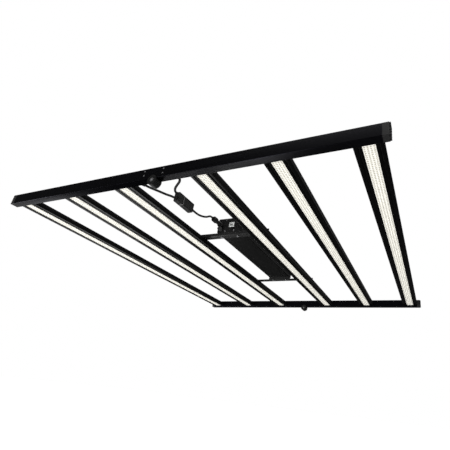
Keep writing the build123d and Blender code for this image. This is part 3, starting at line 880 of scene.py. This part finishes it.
def dial():
    """Dimmer knob with fine ribs, a sunk face and a pointer."""
    low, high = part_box("dimmer_knob")
    x, z = (low.x + high.x) / 2, (low.z + high.z) / 2
    radius = (high.x - low.x) / 2
    back = low.y + 11 * MM
    edit = bmesh.new()
    add_fluted(edit, (x, back, z), low.y - back, (radius - 0.4 * MM, radius - 1.0 * MM), 18, 0.35 * MM)
    face = min(edit.faces, key=lambda f: f.calc_center_median().y)
    bmesh.ops.inset_individual(edit, faces=[face], thickness=1.0 * MM, depth=0.0)
    bmesh.ops.inset_individual(edit, faces=[face], thickness=0.2 * MM, depth=-0.5 * MM)
    add_turned(edit, [(0, 0), (3 * MM, 0), (3 * MM, high.y - back), (0, high.y - back)], (x, back, z), 20)
    add_box(
        edit,
        (x - 0.5 * MM, low.y + 0.1 * MM, z + 1.2 * MM),
        (x + 0.5 * MM, low.y + 0.8 * MM, z + 5.2 * MM),
    )
    return piece("dimmer_dial", edit, ["knob_plastic"], "dimmer", ("dimmer_knob",))


# ---- operators ----
class GROW_OT_camera(bpy.types.Operator):
    """Camera below the hung light, looking up and across it"""

    bl_idname = "grow_light.camera"
    bl_label = "Camera"

    def execute(self, context):
        stage = context.scene.grow_light_stage
        a, e, r = stage.heading, stage.rise, stage.roll
        ahead = Vector((-math.sin(a) * math.cos(e), math.cos(a) * math.cos(e), math.sin(e)))
        level = Vector((math.cos(a), math.sin(a), 0))
        over = level.cross(ahead)
        right = level * math.cos(r) + over * math.sin(r)
        up = over * math.cos(r) - level * math.sin(r)
        data = bpy.data.cameras.new("camera")
        data.sensor_width = 36.0
        data.lens = stage.lens
        data.shift_x, data.shift_y = stage.shift
        data.clip_start, data.clip_end = 0.05, 200.0
        camera = bpy.data.objects.new("camera", data)
        turn = Matrix((right, up, -ahead)).transposed().to_4x4()
        camera.matrix_world = Matrix.Translation(Vector(stage.camera_place)) @ turn
        context.scene.collection.objects.link(camera)
        context.scene.camera = camera
        return {"FINISHED"}


class GROW_OT_leads(bpy.types.Operator):
    """Junction box and the three leads between the beams, the box and the driver"""

    bl_idname = "grow_light.leads"
    bl_label = "Leads and junction box"

    def execute(self, context):
        box = junction_box()
        for name in ("lead_right", "lead_driver"):
            points = LEAD_ROUTES[name]
            lead = route_curve("sheath_" + name, points, LEAD_DIAMETER / 2)
            lead.data.materials.append(finish("lead_sheath"))
            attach(lead, "right_half")
            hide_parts(name)
            length_of(line_of(points))
        points = LEAD_ROUTES["lead_left"]
        line = line_of(points)
        lead = lead_tube("sheath_lead_left", points)
        lead.data.materials.append(finish("lead_sheath"))
        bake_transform(lead)
        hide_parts("lead_left")
        return {"FINISHED"}


class GROW_OT_bars(bpy.types.Operator):
    """Six extruded light bars"""

    bl_idname = "grow_light.bars"
    bl_label = "Light bars"

    def execute(self, context):
        for half in HALVES:
            for name in BARS:
                light_bar(name, half, context.scene.grow_light_bar)
        return {"FINISHED"}


class GROW_OT_emitters(bpy.types.Operator):
    """Rows of emitters under the six boards"""

    bl_idname = "grow_light.emitters"
    bl_label = "Emitters"

    def execute(self, context):
        for half in HALVES:
            for name in BARS:
                emitters(name, half, context.scene.grow_light_bar)
        return {"FINISHED"}


class GROW_OT_frame(bpy.types.Operator):
    """Beams, end caps, hinges and rails with eased edges"""

    bl_idname = "grow_light.frame"
    bl_label = "Frame"

    def execute(self, context):
        for half in HALVES:
            for side in SIDES:
                refined("beam_" + side + "_" + half, 0.0, 0.0)
                refined("end_cap_" + side + "_" + half, 0.4 * MM, 8 * MM)
                refined("hinge_block_" + side + "_" + half, 0.0, 0.0)
        for side in SIDES:
            refined("rail_" + side, 0.4 * MM, 20 * MM)
        return {"FINISHED"}


class GROW_OT_driver(bpy.types.Operator):
    """Driver case and caps, its glands and its dimmer knob"""

    bl_idname = "grow_light.driver"
    bl_label = "Driver"

    def execute(self, context):
        refined("driver_case", 0.3 * MM, 200 * MM)
        for side in SIDES:
            refined("driver_cap_" + side, 0.5 * MM, 30 * MM)
        chassis_gland("output_gland", "driver_output_gland", 3.2 * MM, 17 * MM, False)
        chassis_gland("mains_inlet_gland", "driver_mains_inlet", 3.5 * MM, 14 * MM, True)
        dial()
        return {"FINISHED"}


class GROW_OT_glands(bpy.types.Operator):
    """Glands on the near beam's inner wall"""

    bl_idname = "grow_light.glands"
    bl_label = "Beam glands"

    def execute(self, context):
        for half in HALVES:
            beam_gland(half)
        return {"FINISHED"}


class GROW_OT_finishes(bpy.types.Operator):
    """Gives every CAD node that still shows its finish"""

    bl_idname = "grow_light.finishes"
    bl_label = "Finishes"

    def execute(self, context):
        for name, node in frame["nodes"].items():
            if node.hide_render:
                continue
            node.data.materials.clear()
            node.data.materials.append(finish(slot_of(name)))
        return {"FINISHED"}


class GROW_OT_stage(bpy.types.Operator):
    """Pale floor, white surroundings and soft lights"""

    bl_idname = "grow_light.stage"
    bl_label = "Stage"

    def execute(self, context):
        drop = context.scene.grow_light_stage.floor_drop
        edit = bmesh.new()
        level = Matrix.Translation((0, 0, -drop))
        bmesh.ops.create_grid(edit, x_segments=1, y_segments=1, size=FLOOR_REACH, matrix=level)
        mesh = bpy.data.meshes.new("floor")
        edit.to_mesh(mesh)
        edit.free()
        floor = bpy.data.objects.new("floor", mesh)
        mesh.materials.append(floor_paper("floor_paper"))
        floor.visible_glossy = False
        context.scene.collection.objects.link(floor)
        white_room(context.scene, SHADE_LEVEL)
        context.scene.view_settings.view_transform = "Standard"
        overhead = bpy.data.lights.new("overhead", "SUN")
        overhead.energy = OVERHEAD_STRENGTH
        overhead.angle = OVERHEAD_SPREAD
        context.scene.collection.objects.link(bpy.data.objects.new("overhead", overhead))
        for name, place, size, power in PANELS:
            softbox(name, place, size, power)
        return {"FINISHED"}


def white_room(scene, shade_level):
    """White surroundings that light the object only dimly."""
    world = bpy.data.worlds.new("studio")
    world.use_nodes = True
    nodes, links = world.node_tree.nodes, world.node_tree.links
    path = nodes.new("ShaderNodeLightPath")
    level = nodes.new("ShaderNodeMath")
    level.operation = "MAXIMUM"
    links.new(path.outputs["Is Camera Ray"], level.inputs[0])
    level.inputs[1].default_value = shade_level
    back = nodes["Background"]
    back.inputs["Color"].default_value = (1.0, 1.0, 1.0, 1.0)
    links.new(level.outputs[0], back.inputs["Strength"])
    scene.world = world


def softbox(name, place, size, power):
    """A soft light panel that faces the middle of the object and isn't seen itself."""
    data = bpy.data.lights.new(name, "AREA")
    data.shape = "RECTANGLE"
    data.size, data.size_y = size
    data.energy = power
    light = bpy.data.objects.new(name, data)
    light.visible_camera = False
    way = Vector(place)
    light.matrix_world = Matrix.Translation(way) @ way.to_track_quat("Z", "Y").to_matrix().to_4x4()
    bpy.context.scene.collection.objects.link(light)


class GROW_PT_panel(bpy.types.Panel):
    """Lists the pieces in the order they are made"""

    bl_idname = "GROW_PT_panel"
    bl_label = "Grow light"
    bl_space_type = "VIEW_3D"
    bl_region_type = "UI"
    bl_category = "Grow light"

    def draw(self, context):
        for operator in OPERATORS:
            self.layout.operator(operator.bl_idname)
        for settings in (context.scene.grow_light_bar, context.scene.grow_light_finish):
            for name in settings.__annotations__:
                self.layout.prop(settings, name)


OPERATORS = (
    GROW_OT_camera,
    GROW_OT_leads,
    GROW_OT_glands,
    GROW_OT_bars,
    GROW_OT_emitters,
    GROW_OT_frame,
    GROW_OT_driver,
    GROW_OT_finishes,
    GROW_OT_stage,
)
SETTINGS = {
    "grow_light_bar": BarSettings,
    "grow_light_finish": FinishSettings,
    "grow_light_stage": StageSettings,
}


def register():
    for settings in SETTINGS.values():
        bpy.utils.register_class(settings)
    for name, settings in SETTINGS.items():
        setattr(bpy.types.Scene, name, bpy.props.PointerProperty(type=settings))
    for operator in OPERATORS:
        bpy.utils.register_class(operator)
    bpy.utils.register_class(GROW_PT_panel)


def unregister():
    bpy.utils.unregister_class(GROW_PT_panel)
    for operator in reversed(OPERATORS):
        bpy.utils.unregister_class(operator)
    for name, settings in SETTINGS.items():
        delattr(bpy.types.Scene, name)
        bpy.utils.unregister_class(settings)


def main():
    register()
    bpy.ops.grow_light.camera()
    bpy.ops.grow_light.leads()
    bpy.ops.grow_light.glands()
    bpy.ops.grow_light.bars()
    bpy.ops.grow_light.emitters()
    bpy.ops.grow_light.frame()
    bpy.ops.grow_light.driver()
    bpy.ops.grow_light.finishes()
    bpy.ops.grow_light.stage()


if __name__ == "__main__":
    main()
